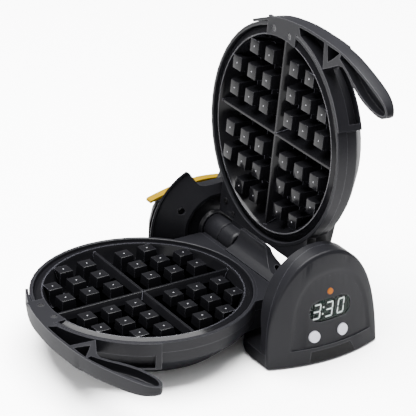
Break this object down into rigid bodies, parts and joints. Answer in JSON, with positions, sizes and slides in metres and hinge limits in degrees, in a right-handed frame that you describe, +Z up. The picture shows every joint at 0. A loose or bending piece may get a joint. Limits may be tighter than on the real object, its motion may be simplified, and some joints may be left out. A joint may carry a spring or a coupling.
{
  "type": "waffle maker",
  "caption": "Flip-over round Belgian waffle maker: patterned plates in two hinged halves with curved handles, carried between two arched towers, one with a digital timer.",
  "frame": {"origin": "on the table, under the middle of the overall extents as posed (lid open)", "axes": "+Z up, Y along the hinge axis with the timer face toward -Y, the lower half reaching out toward -X"},
  "size_m": [0.2952, 0.2704, 0.2806],
  "materials": {
    "housing": "satin charcoal moulding",
    "plate": "glossy black non-stick coating",
    "steel": "plain",
    "screw": "blackened",
    "window": "dark tinted",
    "display": "lit segments on a dark panel",
    "board": "circuit board",
    "lamp": "translucent amber",
    "trim": "matte black",
    "yellow": "bright",
    "button": "light grey",
    "foot": "matte"
  },
  "bodies": {
    "stand": {"base_bridge": "housing", "front_shell": "housing", "front_bezel": "housing", "front_bottom": "trim", "display_window": "window", "display_module": "display", "circuit_board": "board", "indicator_lens": "lamp", "label_strip": "trim", "front_spindle": "steel", "rear_inner": "housing", "rear_shell": "trim", "rear_strip": "yellow", "rear_bottom": "trim", "rear_screw": "screw", "rear_spindle": "steel", "foot_1": "foot", "foot_2": "foot", "foot_3": "foot", "foot_4": "foot"},
    "lower_half": {"lower_pan": "plate", "lower_rim": "housing", "lower_cover": "housing", "lower_heater": "steel", "lower_thermostat": "steel", "lower_handle": "housing", "lower_screw_a": "screw", "lower_screw_b": "screw", "lower_hinge": "housing"},
    "lid": {"lid_pan": "plate", "lid_rim": "housing", "lid_cover": "housing", "lid_heater": "steel", "lid_thermostat": "steel", "lid_handle": "housing", "lid_screw_a": "screw", "lid_screw_b": "screw", "lid_hinge_rear": "housing", "lid_hinge_front": "housing", "lid_hinge_screw": "screw", "lid_hinge_pin": "screw"},
    "minute_button": {"minute_button": "button"},
    "second_button": {"second_button": "button"}
  },
  "joints": [
    {"name": "flip", "type": "hinge", "parent": "stand", "child": "lower_half", "pos_m": [0.08459, 0.0232, 0.0493], "axis": [0, 1, 0], "range_deg": [0, 75]},
    {"name": "lid_hinge", "type": "hinge", "parent": "lower_half", "child": "lid", "pos_m": [0.08459, 0.0232, 0.0493], "axis": [0, 1, 0], "range_deg": [-95, 0]},
    {"name": "minute_press", "type": "slide", "parent": "stand", "child": "minute_button", "axis": [0, 1, 0], "range_m": [0, 0.0012], "stiffness_N_per_m": 400},
    {"name": "second_press", "type": "slide", "parent": "stand", "child": "second_button", "axis": [0, 1, 0], "range_m": [0, 0.0012], "stiffness_N_per_m": 400}
  ]
}
